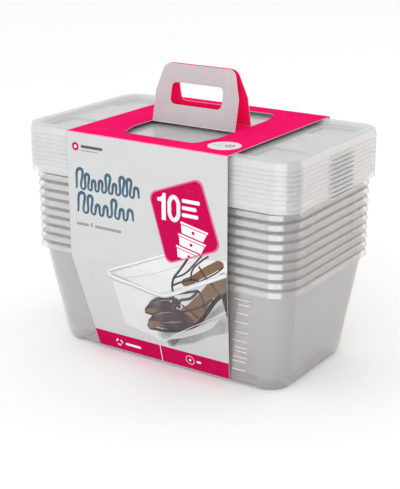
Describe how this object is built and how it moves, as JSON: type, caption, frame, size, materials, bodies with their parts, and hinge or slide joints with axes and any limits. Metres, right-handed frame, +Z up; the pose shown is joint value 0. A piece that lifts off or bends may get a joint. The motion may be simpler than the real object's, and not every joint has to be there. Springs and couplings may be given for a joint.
{
  "type": "storage box multipack",
  "caption": "Retail pack of nested clear plastic shoe storage boxes with their lids stacked on top, wrapped in a printed card sleeve with a folding carry handle.",
  "frame": {"origin": "on the ground under the middle of the pack, at the level of the lowest box's feet", "axes": "+X along the boxes' length, -Y out of the printed front, +Z up"},
  "size_m": [0.3536, 0.2152, 0.3232],
  "materials": {
    "tub_clear_plastic": "translucent polypropylene, gloss",
    "lid_clear_plastic": "translucent polypropylene, fine satin",
    "printed_card": "offset printed and varnished board",
    "plain_card": "unprinted grey-white board"
  },
  "bodies": {
    "stack": {"lid_01": "lid_clear_plastic", "lid_02": "lid_clear_plastic", "lid_03": "lid_clear_plastic", "lid_04": "lid_clear_plastic", "lid_05": "lid_clear_plastic", "lid_06": "lid_clear_plastic", "lid_07": "lid_clear_plastic", "lid_08": "lid_clear_plastic", "lid_09": "lid_clear_plastic", "lid_10": "lid_clear_plastic", "tub_01": "tub_clear_plastic", "tub_02": "tub_clear_plastic", "tub_03": "tub_clear_plastic", "tub_04": "tub_clear_plastic", "tub_05": "tub_clear_plastic", "tub_06": "tub_clear_plastic", "tub_07": "tub_clear_plastic", "tub_08": "tub_clear_plastic", "tub_09": "tub_clear_plastic", "tub_10": "tub_clear_plastic"},
    "sleeve": {"sleeve_back_panel_lower": "printed_card", "sleeve_back_panel_upper": "printed_card", "sleeve_bottom_panel": "printed_card", "sleeve_front_panel_lower": "printed_card", "sleeve_front_panel_upper": "printed_card", "sleeve_glue_flap": "plain_card", "sleeve_top_panel": "printed_card"},
    "flap_front": {"handle_flap_front": "printed_card"},
    "flap_rear": {"handle_flap_rear": "printed_card"}
  },
  "joints": [
    {"name": "sleeve_slide", "type": "slide", "parent": "stack", "child": "sleeve", "axis": [1, 0, 0], "range_m": [-0.285, 0.285], "deforming": ["sleeve_bottom_panel"]},
    {"name": "front_flap_fold", "type": "hinge", "parent": "sleeve", "child": "flap_front", "pos_m": [0, -0.0165, 0.25941], "axis": [1, 0, 0], "range_deg": [-1.5, 102.2]},
    {"name": "rear_flap_fold", "type": "hinge", "parent": "sleeve", "child": "flap_rear", "pos_m": [0, 0.0165, 0.25941], "axis": [-1, 0, 0], "range_deg": [-1.5, 102.2]}
  ]
}
